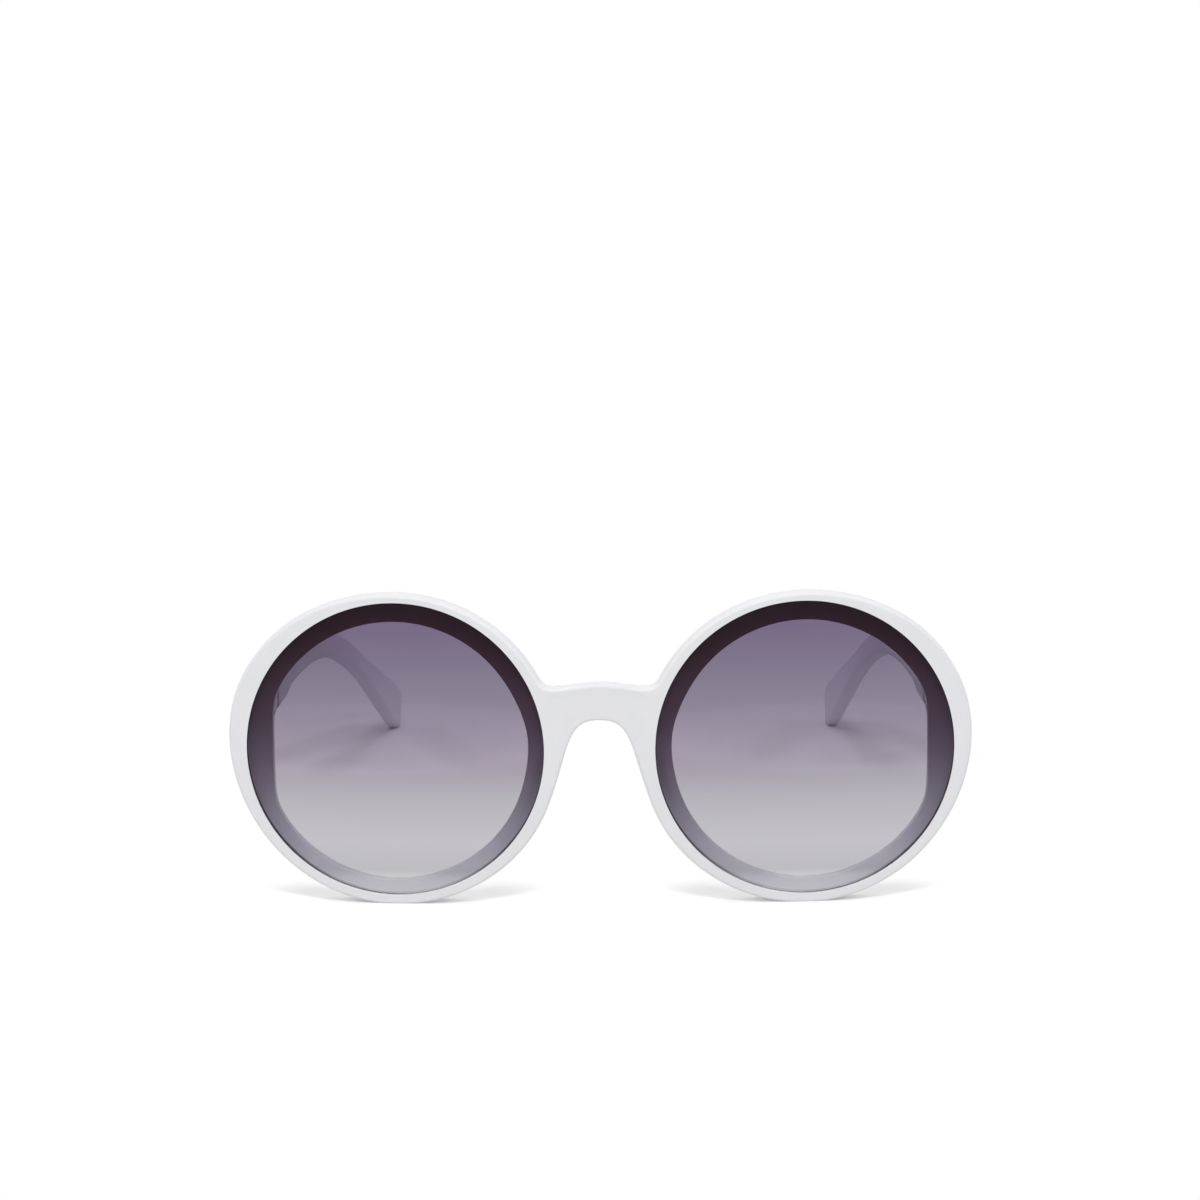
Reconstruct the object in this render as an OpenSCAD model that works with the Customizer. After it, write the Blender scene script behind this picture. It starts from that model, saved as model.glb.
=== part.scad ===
// Oversized round sunglasses: one moulded front, two tinted lenses and two folding temples.
// The front faces -Y, the temples run back to +Y, and the rims and the temple tips stand on Z = 0.
// Names go by the wearer's side: "left" is +X and "right" is -X.

/* [Lenses] */
// Diameter of each round lens
lens_d = 60; // [52:0.5:64]
// Thickness of a lens at its edge
lens_t = 2; // [1.4:0.1:2.4]
// Radius of the curve of a lens
lens_curve_r = 200; // [120:5:400]
// Width of the flat land at the back of a lens, which seats on the shelf
lens_land_w = 2; // [1.2:0.1:3]
// Distance between the centres of the two lenses
lens_spacing = 81.8; // [79:0.2:88]

/* [Front] */
// Thickness of the front from its face to its back
front_t = 4.6; // [4:0.1:6]
// Width of a rim outside its lens, at the bottom
rim_w = 1.9; // [1.6:0.1:2.8]
// Width that the rim gains at the outer brow
brow_w = 2.1; // [0:0.1:3]
// Width that the rim loses at the top
top_slim_w = 0.6; // [0:0.1:0.8]
// Width that the rim gains beside the nose
nose_side_w = 0.7; // [0:0.1:1]
// Radius of the rounded edge round the face of the front
face_edge_r = 1.2; // [0.6:0.1:1.6]
// Radius of the rounded edge round the back of the front
back_edge_r = 0.9; // [0.5:0.1:1.4]
// Angle that each rim turns back from the nose
wrap_angle = 3.8; // [1:0.1:7]
// Angle that the front leans back
lean_angle = 1.3; // [0:0.1:4]
// Depth of a lens's edge behind the face of the front
lens_inset = 0.4; // [0.2:0.1:0.8]
// Width of the shelf behind a lens, beside it
shelf_w = 3.6; // [2:0.1:4.2]
// Width that the shelf gains at the top
shelf_top_w = 0.8; // [0:0.1:1.2]
// Width of the shelf at its straight side by the temple
shelf_side_w = 5.4; // [4.4:0.1:7]
// How far the shelf's opening is shifted towards the temple
shelf_out = 0.3; // [0:0.1:0.6]

/* [Bridge] */
// Height of the middle of the bridge's top above the lens centres
bridge_rise = 13.5; // [9:0.1:16]
// Height of the bridge at its middle
bridge_h = 7.3; // [4.5:0.1:8]
// Depth of the dip beside the middle of the bridge's top
bridge_dip = 0.9; // [0:0.1:1.5]
// Radius of the fillet between the bridge's top and a rim
bridge_fillet_r = 3; // [1.5:0.1:5]
// Depth of the hollow in the face of the bridge
scoop_t = 0.5; // [0:0.05:0.8]
// Height of a nose pad
pad_l = 9; // [6:0.5:12]
// Radius of a nose pad
pad_r = 2.1; // [1.6:0.1:2.4]
// Depth that the lower end of a nose pad stands out behind the front
pad_out = 3.4; // [1.5:0.1:4]

/* [Temples] */
// Reach of a temple, straight back from its joint to its tip
temple_l = 136; // [110:1:150]
// Height of a temple at the joint
temple_root_h = 9.2; // [8.2:0.1:11]
// Height of a temple at its slim middle
temple_mid_h = 5; // [4:0.1:6.5]
// Height of a temple at its tip
temple_tip_h = 9.8; // [7:0.1:12]
// Thickness of a temple at the joint
temple_root_t = 4.4; // [4:0.1:5]
// Thickness of a temple at its tip
temple_tip_t = 3.6; // [2.6:0.1:4]
// Distance that each temple comes in from the joint to its tip
temple_squeeze = 16.3; // [6:0.1:20]
// Radius of the rounded long edges of a temple
temple_edge_r = 1.2; // [0.6:0.1:1.3]
// Radius of the corners of the blunt tip
tip_corner_r = 2.5; // [1.6:0.1:3]
// Radius of the wire in the core of a temple
core_r = 0.6; // [0.4:0.05:0.8]

/* [Hinges] */
// Height of the hinge above the lens centres
hinge_rise = 10.3; // [7:0.1:12]
// Distance of the hinge pin inside the outer edge of the lens
hinge_inset = 4.3; // [3.8:0.1:5]
// Length of the end piece behind the rim
end_piece_l = 4.3; // [3:0.1:7]
// Radius of a hinge knuckle
knuckle_r = 1.4; // [1.2:0.05:1.5]
// Height of one hinge knuckle
knuckle_h = 2.2; // [1.6:0.1:2.4]
// Thickness of a hinge leaf
leaf_t = 1; // [0.7:0.1:1.2]
// Length of the front hinge leaf, from the pin into the end piece
front_leaf_l = 5; // [4:0.1:6]
// Length of the temple hinge leaf, from the pin into the temple
temple_leaf_l = 10; // [7:0.5:14]
// Radius of the hinge screw
screw_r = 0.6; // [0.4:0.05:0.7]
// Radius of the screw's head
screw_head_r = 1.1; // [0.9:0.05:1.2]

/* [Hidden] */
$fn = 96;
left = 1;
right = -1;
white = [0.93, 0.93, 0.95];
tint = [0.48, 0.42, 0.53, 0.7];
steel = [0.75, 0.75, 0.77];

// Clearances and overruns
seat_clearance = 0.1;
pin_clearance = 0.04;
leaf_clearance = 0.05;
joint_clearance = 0.12;
knuckle_clearance = 0.3;
relief_clearance = 0.12;
foot_cut = 0.2;
edge_land = 0.1;
overrun = 1;
small_fn = 24;

function ease(t) = let (c = min(max(t, 0), 1)) c * c * (3 - 2 * c);

// The lens and the rim round it
lens_r = lens_d / 2;
centre_x = lens_spacing / 2;
brow_dir = 156;
brow_spread = 40;
top_dir = 92;
top_spread = 45;
nose_dir = 345;
nose_spread = 40;
function swell(a, dir, spread) = exp(-pow((((a - dir + 540) % 360) - 180) / spread, 2));
// Radius of the rim's outline: 0 points to the nose, 90 up and 180 to the temple
function rim_r(a) =
    lens_r + rim_w + brow_w * swell(a, brow_dir, brow_spread)
    - top_slim_w * swell(a, top_dir, top_spread)
    + nose_side_w * swell(a, nose_dir, nose_spread);
centre_z = rim_r(270) - foot_cut;

// The front is bent round a large arc at the bridge and runs straight back beside it
flex_share = 1.2;
flex_u = flex_share * (centre_x - lens_r - rim_w);
flex_r = flex_u / (wrap_angle * PI / 180);
function bent(u, depth) =
    let (a = min(abs(u), flex_u) / flex_r * 180 / PI, run = max(abs(u) - flex_u, 0), s = sign(u))
    [s * ((flex_r - depth) * sin(a) + run * cos(a)), flex_r * (1 - cos(a)) + run * sin(a) + depth * cos(a)];
centre_u = flex_u + (centre_x - flex_r * sin(wrap_angle)) / cos(wrap_angle);
centre_y = bent(centre_u, 0)[1];

// Outline of half the front, from the top of the bridge round the rim to the nose arch
rim_steps = 26;
top_steps = 4;
fillet_steps = 6;
arch_steps = top_steps + fillet_steps;
fillet_z = bridge_rise - bridge_dip + bridge_fillet_r;
function fillet_a(r) = asin(fillet_z / (r + bridge_fillet_r));
fillet_end_a = fillet_a(rim_r(fillet_a(lens_r + rim_w)));
fillet_u = centre_u - (rim_r(fillet_end_a) + bridge_fillet_r) * cos(fillet_end_a);
top_half = [for (i = [0:top_steps - 1])
    let (s = i / top_steps) [s * fillet_u, bridge_rise - bridge_dip * ease(s)]];
fillet_half = [for (i = [0:fillet_steps - 1])
    let (a = 270 + i / fillet_steps * (90 - fillet_end_a))
    [fillet_u + bridge_fillet_r * cos(a), fillet_z + bridge_fillet_r * sin(a)]];
arch_end_a = 20;
rim_half = [for (i = [0:2 * rim_steps - 1])
    let (a = fillet_end_a + i / (2 * rim_steps - 1) * (360 - arch_end_a - fillet_end_a))
    [centre_u - rim_r(a) * cos(a), rim_r(a) * sin(a)]];
arch_top = bridge_rise - bridge_h;
arch_low = rim_half[2 * rim_steps - 1];
arch_flat_share = 0.76;
arch_side_share = 0.95;
arch_side_dir = [-sin(arch_end_a), cos(arch_end_a)];
arch_pts = [arch_low, arch_low + arch_side_share * (arch_top - arch_low[1]) * arch_side_dir,
            [arch_flat_share * arch_low[0], arch_top], [0, arch_top]];
function bezier(p, t) =
    pow(1 - t, 3) * p[0] + 3 * t * pow(1 - t, 2) * p[1] + 3 * t * t * (1 - t) * p[2] + pow(t, 3) * p[3];
arch_half = [for (i = [1:arch_steps]) bezier(arch_pts, i / arch_steps)];
half = concat(top_half, fillet_half, rim_half, arch_half);
half_n = len(half);
outline = concat(half, [for (i = [half_n - 2:-1:1]) [-half[i][0], half[i][1]]]);
outline_n = len(outline);
column_n = half_n / 2;

// Edge of the front, from its face to its back: how far each ring lies in, and how deep
edge_steps = 4;
edge_rings = concat(
    [for (i = [0:edge_steps]) let (a = 90 * i / edge_steps) face_edge_r * [1 - sin(a), 1 - cos(a)]],
    [for (i = [0:edge_steps]) let (a = 90 * i / edge_steps)
        [back_edge_r * (1 - cos(a)), front_t - back_edge_r * (1 - sin(a))]]);
ring_n = len(edge_rings);
scoop_half_w = centre_x - lens_r - rim_w - nose_side_w / 2;
scoop_edge_share = 0.7;
function scoop(u, depth) =
    scoop_t * ease((1 - abs(u) / scoop_half_w) / (1 - scoop_edge_share)) * max(1 - 2 * depth / front_t, 0);

// Places of the hinge: the front's own frame leans with it
hinge_x = centre_x + lens_r - hinge_inset;
hinge_z = centre_z + hinge_rise;
joint_y = bent(hinge_x, front_t)[1] + end_piece_l;
pin_y = joint_y + knuckle_r + knuckle_clearance;
hinge_h = 3 * knuckle_h;
temple_in_x = hinge_x - knuckle_r + knuckle_clearance / 2;
relief_r = norm([hinge_x - temple_in_x, pin_y - joint_y]) + relief_clearance;
end_piece_in_x = hinge_x - knuckle_r;
temple_leaf_h_share = 0.75;
screw_head_h_share = 0.5;
screw_slot_w_share = 0.33;

// Line of a temple, in the standing frame: level from the joint, then down to the ear hook
root_y = joint_y * cos(lean_angle) + hinge_z * sin(lean_angle);
root_z = hinge_z * cos(lean_angle) - joint_y * sin(lean_angle);
level_share = 0.435;
hook_share = 0.54;
level_rise_share = 1.03;
hook_drop_share = 0.86;
hook_y = hook_share * temple_l;
hook_z = hook_drop_share * root_z;
tip_dir = atan2(hook_z - temple_tip_h / 2, temple_l - hook_y);
tip_z = tip_corner_r * (1 - sin(tip_dir)) + (temple_tip_h / 2 - tip_corner_r) * cos(tip_dir) - foot_cut;
temple_pts = [[-overrun, root_z], [level_share * temple_l, level_rise_share * root_z], [hook_y, hook_z],
              [temple_l, tip_z]];
tip_run = 3 * norm(temple_pts[3] - temple_pts[2]);
function slope(p, t) =
    let (v = pow(1 - t, 2) * (p[1] - p[0]) + 2 * t * (1 - t) * (p[2] - p[1]) + t * t * (p[3] - p[2]))
    atan2(v[1], v[0]);
// Place along the line's curve at which it is so far behind the joint
function line_t(y, low = 0, high = 1, n = 20) =
    let (t = (low + high) / 2)
    n == 0 ? t : bezier(temple_pts, t)[0] < y ? line_t(y, t, high, n - 1) : line_t(y, low, t, n - 1);
slim_share = 0.62;
slim_power = 1.1;
shoulder_h_share = 0.12;
shoulder_start_share = 0.085;
shoulder_end_share = 0.135;
root_slim_share = 0.9;
function shoulder(s) =
    temple_root_h * shoulder_h_share
    * (1 - ease((s - shoulder_start_share) / (shoulder_end_share - shoulder_start_share)));
function temple_h(s) =
    s < slim_share
    ? temple_mid_h + (temple_root_h * root_slim_share - temple_mid_h) * pow(1 - s / slim_share, slim_power)
    : temple_mid_h + (temple_tip_h - temple_mid_h) * ease((s - slim_share) / (1 - slim_share));
function temple_t(s) = temple_root_t + (temple_tip_t - temple_root_t) * s;
squeeze_bow_share = 0.14;
function temple_x(s) =
    temple_in_x + temple_t(s) / 2
    - temple_squeeze * ((1 - squeeze_bow_share) * s + squeeze_bow_share * s * s);
function rounded(q, r) = q < r ? r - sqrt(r * r - (r - q) * (r - q)) : 0;
temple_steps = 30;
tip_steps = 5;
temple_ts = concat(
    [for (i = [0:temple_steps - 1]) i / temple_steps * (1 - tip_corner_r / tip_run)],
    [for (i = [0:tip_steps]) 1 - tip_corner_r / tip_run * (1 - sin(90 * i / tip_steps))]);

// Point on a temple: across is along X, up is square to the temple's line
function temple_point(t, across, up) =
    let (c = bezier(temple_pts, t), a = slope(temple_pts, t), s = c[0] / temple_l)
    [temple_x(s) + across, root_y + c[0] - up * sin(a), c[1] + up * cos(a)];

// Section of a temple: a rectangle with rounded corners
corner_steps = 4;
function section(t) =
    let (s = bezier(temple_pts, t)[0] / temple_l,
         q = (1 - t) * tip_run,
         edge = min(temple_edge_r, temple_tip_t / 2 - edge_land),
         half_t = temple_t(s) / 2 - rounded(q, edge),
         top = temple_h(s) / 2 - rounded(q, tip_corner_r),
         low = top + shoulder(s),
         r = min(edge, half_t - edge_land / 2))
    [for (k = [3:-1:0], i = [corner_steps:-1:0])
        let (a = 90 * (k + i / corner_steps), sx = (k == 0 || k == 3) ? 1 : -1, sz = k < 2 ? 1 : -1)
        temple_point(t, sx * (half_t - r) + r * cos(a), sz * ((sz > 0 ? top : low) - r) + r * sin(a))];

// How deep the whole pair is, for the origin under its middle
back_y = root_y + temple_l + (temple_tip_h / 2 - tip_corner_r) * sin(tip_dir);
face_y = bent(0, 0)[1] + (centre_z + bridge_rise - bridge_h) * sin(lean_angle);
middle_y = (face_y + back_y) / 2;

function flat(lists) = [for (l = lists, p = l) p];

// Closed skin through rings of points; each cap is a list of faces
module skin(rings, front_cap, back_cap) {
    n = len(rings[0]);
    sides = [for (k = [0:len(rings) - 2], j = [0:n - 1])
        let (a = k * n + j, b = k * n + (j + 1) % n) each [[a, a + n, b + n], [a, b + n, b]]];
    polyhedron(points = flat(rings), faces = concat(front_cap, back_cap, sides), convexity = 8);
}

module standing() {
    translate([0, -middle_y, 0]) children();
}

module leaning() {
    standing() rotate([-lean_angle, 0, 0]) children();
}

module on_side(side) {
    mirror([side < 0 ? 1 : 0, 0, 0]) children();
}

// Z runs out of the face along the axis of the left lens, and X to the temple
module in_lens() {
    translate([centre_x, centre_y, centre_z]) rotate([0, 0, wrap_angle]) rotate([90, 0, 0]) children();
}

// Z runs up the left hinge pin, X to the outside and Y to the back
module in_hinge() {
    translate([hinge_x, pin_y, hinge_z]) children();
}

module floor_cut() {
    size = 2 * (lens_spacing + temple_l);
    standing() translate([-size / 2, -size / 2, -size]) cube(size);
}

function outline_normal(j) =
    let (d = outline[(j + 1) % outline_n] - outline[(j + outline_n - 1) % outline_n])
    [-d[1], d[0]] / norm(d);

function front_ring(k) =
    [for (j = [0:outline_n - 1])
        let (p = outline[j] - edge_rings[k][0] * outline_normal(j),
             depth = edge_rings[k][1] + scoop(p[0], edge_rings[k][1]),
             b = bent(p[0], depth))
        [b[0], b[1], centre_z + p[1]]];

// Number of the outline's point at the top or the bottom of a column, counted from the bridge
function top_point(c) = c >= 0 ? c : outline_n + c;
function low_point(c) = half_n - 1 - c;

module front_plate() {
    rings = [for (k = [0:ring_n - 1]) front_ring(k)];
    last = (ring_n - 1) * outline_n;
    columns = [for (c = [1 - column_n:column_n - 2])
        [top_point(c), top_point(c + 1), low_point(c + 1), low_point(c)]];
    skin(rings,
         [for (q = columns) each [[q[0], q[1], q[2]], [q[0], q[2], q[3]]]],
         [for (q = columns) let (b = [for (p = q) p + last]) each [[b[2], b[1], b[0]], [b[3], b[2], b[0]]]]);
}

// Block behind the rim that holds the front leaf of the hinge
module end_piece() {
    root_h = temple_root_h * (root_slim_share + 2 * shoulder_h_share) / 2;
    low = hinge_z - root_h;
    high = hinge_z + temple_root_h * root_slim_share / 2;
    out_x = temple_in_x + temple_root_t;
    start_y = joint_y - end_piece_l - front_t / 2;
    hull() {
        for (x = [end_piece_in_x + temple_edge_r, out_x - temple_edge_r],
             z = [low + temple_edge_r, high - temple_edge_r])
            translate([x, start_y, z])
                rotate([-90, 0, 0]) cylinder(r = temple_edge_r, h = joint_y - start_y, $fn = small_fn);
    }
}

module nose_pad() {
    pad_x = centre_u - rim_r(nose_dir) + pad_r;
    lean_x = pad_l * sin(arch_end_a);
    high_z = centre_z - pad_r;
    hull() {
        translate([pad_x, bent(pad_x, front_t)[1], high_z]) sphere(pad_r, $fn = small_fn);
        translate([pad_x + lean_x, bent(pad_x, front_t)[1] + pad_out - pad_r, high_z - pad_l])
            sphere(pad_r, $fn = small_fn);
    }
}

module lens_pocket() {
    seat = -lens_inset - lens_t;
    translate([0, 0, seat]) cylinder(r = lens_r + seat_clearance, h = front_t + overrun);
    translate([0, 0, -front_t - overrun]) linear_extrude(height = front_t + overrun)
        intersection() {
            translate([shelf_out, -shelf_top_w]) circle(r = lens_r - shelf_w);
            translate([-lens_r, -lens_r]) square([2 * lens_r - shelf_side_w, 2 * lens_r]);
        }
}

module front_leaf_slot() {
    slot_t = leaf_t + 2 * leaf_clearance;
    slot_h = hinge_h + 2 * leaf_clearance;
    translate([-slot_t / 2, -front_leaf_l - leaf_clearance, -slot_h / 2])
        cube([slot_t, front_leaf_l, slot_h]);
}

module front_frame() {
    color(white) difference() {
        leaning() {
            front_plate();
            for (side = [left, right]) on_side(side) {
                end_piece();
                nose_pad();
            }
        }
        leaning() for (side = [left, right]) on_side(side) {
            in_lens() lens_pocket();
            in_hinge() front_leaf_slot();
        }
        floor_cut();
    }
}

module lens(side) {
    face_z = -lens_inset - sqrt(lens_curve_r * lens_curve_r - lens_r * lens_r);
    land_r = lens_r - lens_land_w;
    back_z = -lens_inset - lens_t - sqrt(lens_curve_r * lens_curve_r - land_r * land_r);
    color(tint) leaning() on_side(side) in_lens() difference() {
        intersection() {
            translate([0, 0, -lens_inset - lens_t]) cylinder(r = lens_r, h = lens_t + lens_r / 2);
            translate([0, 0, face_z]) sphere(lens_curve_r);
        }
        translate([0, 0, back_z]) sphere(lens_curve_r);
    }
}

module knuckle(low, high, clearance) {
    translate([0, 0, low + clearance]) cylinder(r = knuckle_r, h = high - low - 2 * clearance);
}

module screw_bore() {
    translate([0, 0, -hinge_h]) cylinder(r = screw_r + pin_clearance, h = 2 * hinge_h);
}

module front_hinge_leaf(side) {
    gap_r = knuckle_r + knuckle_clearance;
    color(steel) leaning() on_side(side) in_hinge() difference() {
        union() {
            translate([-leaf_t / 2, -front_leaf_l, -hinge_h / 2]) cube([leaf_t, front_leaf_l, hinge_h]);
            knuckle(-hinge_h / 2, -knuckle_h / 2, 0);
            knuckle(knuckle_h / 2, hinge_h / 2, 0);
        }
        translate([0, 0, -knuckle_h / 2]) cylinder(r = gap_r, h = knuckle_h);
        screw_bore();
    }
}

module temple_leaf_plate(start, clearance) {
    plate_h = temple_leaf_h_share * hinge_h + 2 * clearance;
    plate_t = leaf_t + 2 * clearance;
    translate([-plate_t / 2, start, -plate_h / 2])
        cube([plate_t, temple_leaf_l - start + clearance, plate_h]);
}

module temple_hinge_leaf(side) {
    neck_h = knuckle_h - 2 * leaf_clearance;
    color(steel) leaning() on_side(side) in_hinge() difference() {
        union() {
            temple_leaf_plate(relief_r, 0);
            translate([-leaf_t / 2, 0, -neck_h / 2]) cube([leaf_t, relief_r + leaf_t, neck_h]);
            knuckle(-knuckle_h / 2, knuckle_h / 2, leaf_clearance);
        }
        screw_bore();
    }
}

module hinge_screw(side) {
    head_h = screw_head_h_share * screw_head_r;
    slot_w = screw_slot_w_share * screw_head_r;
    color(steel) leaning() on_side(side) in_hinge() difference() {
        union() {
            translate([0, 0, -hinge_h / 2]) cylinder(r = screw_r, h = hinge_h);
            translate([0, 0, hinge_h / 2]) cylinder(r = screw_head_r, h = head_h);
        }
        translate([-screw_head_r - overrun, -slot_w / 2, hinge_h / 2 + head_h / 2])
            cube([2 * (screw_head_r + overrun), slot_w, head_h]);
    }
}

// Round rod along the core of a temple, from the end of its hinge leaf to near its tip
core_start_t = line_t(pin_y - joint_y + temple_leaf_l);
core_end_t = 1 - 2 * tip_corner_r / tip_run;
core_steps = 30;
core_sides = 8;

module core_rod(r, start, end) {
    rings = [for (i = [0:core_steps])
        let (t = start + (end - start) * i / core_steps)
        [for (j = [0:core_sides - 1])
            let (a = -360 * j / core_sides) temple_point(t, r * cos(a), r * sin(a))]];
    last = core_steps * core_sides;
    skin(rings, [[for (j = [0:core_sides - 1]) j]], [[for (j = [core_sides - 1:-1:0]) j + last]]);
}

module temple(side) {
    rings = [for (t = temple_ts) section(t)];
    n = len(rings[0]);
    last = (len(rings) - 1) * n;
    joint_size = 2 * temple_root_h;
    color(white) difference() {
        standing() on_side(side)
            skin(rings, [[for (j = [0:n - 1]) j]], [[for (j = [n - 1:-1:0]) j + last]]);
        standing() on_side(side)
            core_rod(core_r + leaf_clearance, core_start_t - overrun / tip_run, core_end_t);
        leaning() on_side(side) in_hinge() {
            translate([0, 0, -temple_root_h]) cylinder(r = relief_r, h = 2 * temple_root_h);
            temple_leaf_plate(0, leaf_clearance);
            translate([-joint_size / 2, joint_y - pin_y + joint_clearance - joint_size, -joint_size / 2])
                cube(joint_size);
        }
        floor_cut();
    }
}

module temple_core_wire(side) {
    color(steel) standing() on_side(side) core_rod(core_r, core_start_t, core_end_t);
}

front_frame();
lens(left);  // lens_left
lens(right);  // lens_right
temple(left);  // temple_left
temple(right);  // temple_right
front_hinge_leaf(left);  // front_hinge_leaf_left
front_hinge_leaf(right);  // front_hinge_leaf_right
temple_hinge_leaf(left);  // temple_hinge_leaf_left
temple_hinge_leaf(right);  // temple_hinge_leaf_right
hinge_screw(left);  // hinge_screw_left
hinge_screw(right);  // hinge_screw_right
temple_core_wire(left);  // temple_core_wire_left
temple_core_wire(right);  // temple_core_wire_right
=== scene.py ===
# %% [markdown]
# # Oversized round sunglasses
# A pair of moulded plastic sunglasses stands on its rims and its temple tips. The part comes
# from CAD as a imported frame: every solid is already in its place, and two joints fold the
# temples. This lesson gives the pair its looks. The solids from CAD are made of flat facets, so
# the front, the lenses and the temples are modelled again here with smooth, dense meshes that
# stand exactly where the solids stand. The small metal parts of the hinges are right as they
# are, and only get their metal.

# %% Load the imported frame
import math

import bmesh
import bpy
from mathutils import Euler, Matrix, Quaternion, Vector
from mathutils.kdtree import KDTree


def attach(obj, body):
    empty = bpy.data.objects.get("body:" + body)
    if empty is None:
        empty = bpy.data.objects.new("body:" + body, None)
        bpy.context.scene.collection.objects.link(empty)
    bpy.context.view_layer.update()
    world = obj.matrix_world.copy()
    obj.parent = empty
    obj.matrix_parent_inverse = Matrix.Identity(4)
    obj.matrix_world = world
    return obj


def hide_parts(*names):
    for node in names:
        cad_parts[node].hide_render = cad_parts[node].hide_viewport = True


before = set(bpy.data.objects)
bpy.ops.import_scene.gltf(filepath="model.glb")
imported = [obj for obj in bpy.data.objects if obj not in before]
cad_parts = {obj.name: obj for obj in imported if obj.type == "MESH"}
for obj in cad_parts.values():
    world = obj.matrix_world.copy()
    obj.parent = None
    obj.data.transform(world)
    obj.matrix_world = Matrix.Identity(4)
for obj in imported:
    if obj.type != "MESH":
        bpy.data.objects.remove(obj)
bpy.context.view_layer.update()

MM = 0.001
print("nodes:", sorted(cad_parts))

# %% [markdown]
# ## Tools for leading a line
# Most of this object is a line that was swept: a rim is a profile led round the lens, and a
# temple is a section led along the arm. By hand such a form starts as a circle, and its open
# edge is extruded again and again, each new line being moved to its own place. The helpers
# below do this with Blender's own operators. A tree of known places finds which corner of the
# new line is which, so that every corner goes where the drawing says.

# %% Helpers for lines and loops
def tree_of(places):
    """A tree that finds which of some places is the nearest."""
    tree = KDTree(len(places))
    for index, place in enumerate(places):
        tree.insert(place, index)
    tree.balance()
    return tree


def start_ring(name, places):
    """A circle is added and its corners are laid on a closed line. Edit mode stays on."""
    bpy.ops.object.select_all(action="DESELECT")
    bpy.ops.mesh.primitive_circle_add(vertices=len(places), fill_type="NOTHING")
    piece = bpy.context.object
    piece.name = piece.data.name = name
    for corner, place in zip(piece.data.vertices, places):
        corner.co = place
    bpy.ops.object.mode_set(mode="EDIT")
    bpy.ops.mesh.select_mode(type="EDGE")
    bpy.ops.mesh.select_all(action="SELECT")
    return piece


def extrude_to(piece, old, new):
    """What is selected is extruded, and its corners go from the old places to the new ones."""
    bpy.ops.mesh.extrude_region_move()
    tree = tree_of(old)
    mesh = bmesh.from_edit_mesh(piece.data)
    for corner in mesh.verts:
        if corner.select:
            corner.co = new[tree.find(corner.co)[1]]
    bmesh.update_edit_mesh(piece.data)


def extrude_through(piece, lines):
    """The selected line is led through all the lines, one after another."""
    for old, new in zip(lines, lines[1:]):
        extrude_to(piece, old, new)


print("helpers: a tree of places, a ring to start from, and extruding through lines")

# %% [markdown]
# ## Tools for finishing
# Where the last line of a piece meets its first one, each corner is there twice. The piece is
# closed once these doubles are merged, and its normals are then turned outwards.

# %% Helpers for finishing and telling sizes
MERGE = 2e-6


def tidy(piece, merge=MERGE):
    """Merges doubles, turns the normals outwards and leaves edit mode."""
    bpy.ops.mesh.select_all(action="SELECT")
    bpy.ops.mesh.remove_doubles(threshold=merge)
    bpy.ops.mesh.normals_make_consistent(inside=False)
    bpy.ops.object.mode_set(mode="OBJECT")


def tell(piece):
    size = [round(1000 * side, 1) for side in piece.dimensions]
    print(f"{piece.name}: {len(piece.data.polygons)} faces, {size} mm")


print("helpers: closing a piece and telling its size")

# %% [markdown]
# ## The drawing of the front
# The front is drawn flat first: a place on it is how far along it lies, how high above the
# lens centres, and how deep behind the face, all in millimetres. The rims aren't true circles:
# each is widest at the outer brow and slimmest on top, which gives the pair its slightly
# upswept look. Three soft swells, worked out from an angle round the lens, draw that better
# than moving corners by eye.

# %% Sizes of the front
LENS_R, LENS_T, LENS_CURVE_R, LENS_LAND_W = 30, 2, 200, 2
RIM_W, BROW_W, TOP_SLIM_W, NOSE_SIDE_W = 1.9, 2.1, 0.6, 0.7
BROW_AT, BROW_SPREAD = 156, 40
TOP_AT, TOP_SPREAD = 92, 45
NOSE_AT, NOSE_SPREAD = 345, 40
FRONT_T, FACE_EDGE_R, BACK_EDGE_R = 4.6, 0.65, 0.9
BRIDGE_RISE, BRIDGE_H, BRIDGE_DIP, FILLET_R = 13.5, 7.3, 0.9, 3
WRAP, LEAN = math.radians(3.8), math.radians(1.3)
CENTRE_X, MIDDLE_Y = 40.9, 75.911
FLEX_SHARE = 1.2
FLEX_U = FLEX_SHARE * (CENTRE_X - LENS_R - RIM_W)
FLEX_R = FLEX_U / WRAP
CENTRE_U = FLEX_U + (CENTRE_X - FLEX_R * math.sin(WRAP)) / math.cos(WRAP)


def swell(angle, middle, spread):
    """1 at the middle, and falling off softly round the lens."""
    turned = (angle - middle + 540) % 360 - 180
    return math.exp(-((turned / spread) ** 2))


def rim_radius(angle):
    """Radius of the rim's outline: 0 points to the nose, 90 up and 180 to the temple."""
    return (LENS_R + RIM_W + BROW_W * swell(angle, BROW_AT, BROW_SPREAD)
            - TOP_SLIM_W * swell(angle, TOP_AT, TOP_SPREAD)
            + NOSE_SIDE_W * swell(angle, NOSE_AT, NOSE_SPREAD))


def round_lens(radius, angle):
    """Flat place at a radius and an angle in degrees round the lens centre."""
    turn = math.radians(angle)
    return Vector((CENTRE_U - radius * math.cos(turn), radius * math.sin(turn)))


print("rim at the nose, top, temple and foot:", [round(rim_radius(a), 2) for a in (0, 90, 180, 270)], "mm")

# %% [markdown]
# ## The outline, corner by corner
# Half of the outline runs from the top of the bridge over a fillet into the rim, all round the
# rim, and back to the middle along the arch under the bridge. The fillet is an arc that touches
# the bridge and the rim, and the arch is a Bezier curve that leaves the rim smoothly. A drawn
# curve object could do this too, but here the number of each corner tells later where it joins.

# %% Outline of half the front
def ease(share):
    share = min(max(share, 0), 1)
    return share * share * (3 - 2 * share)


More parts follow.
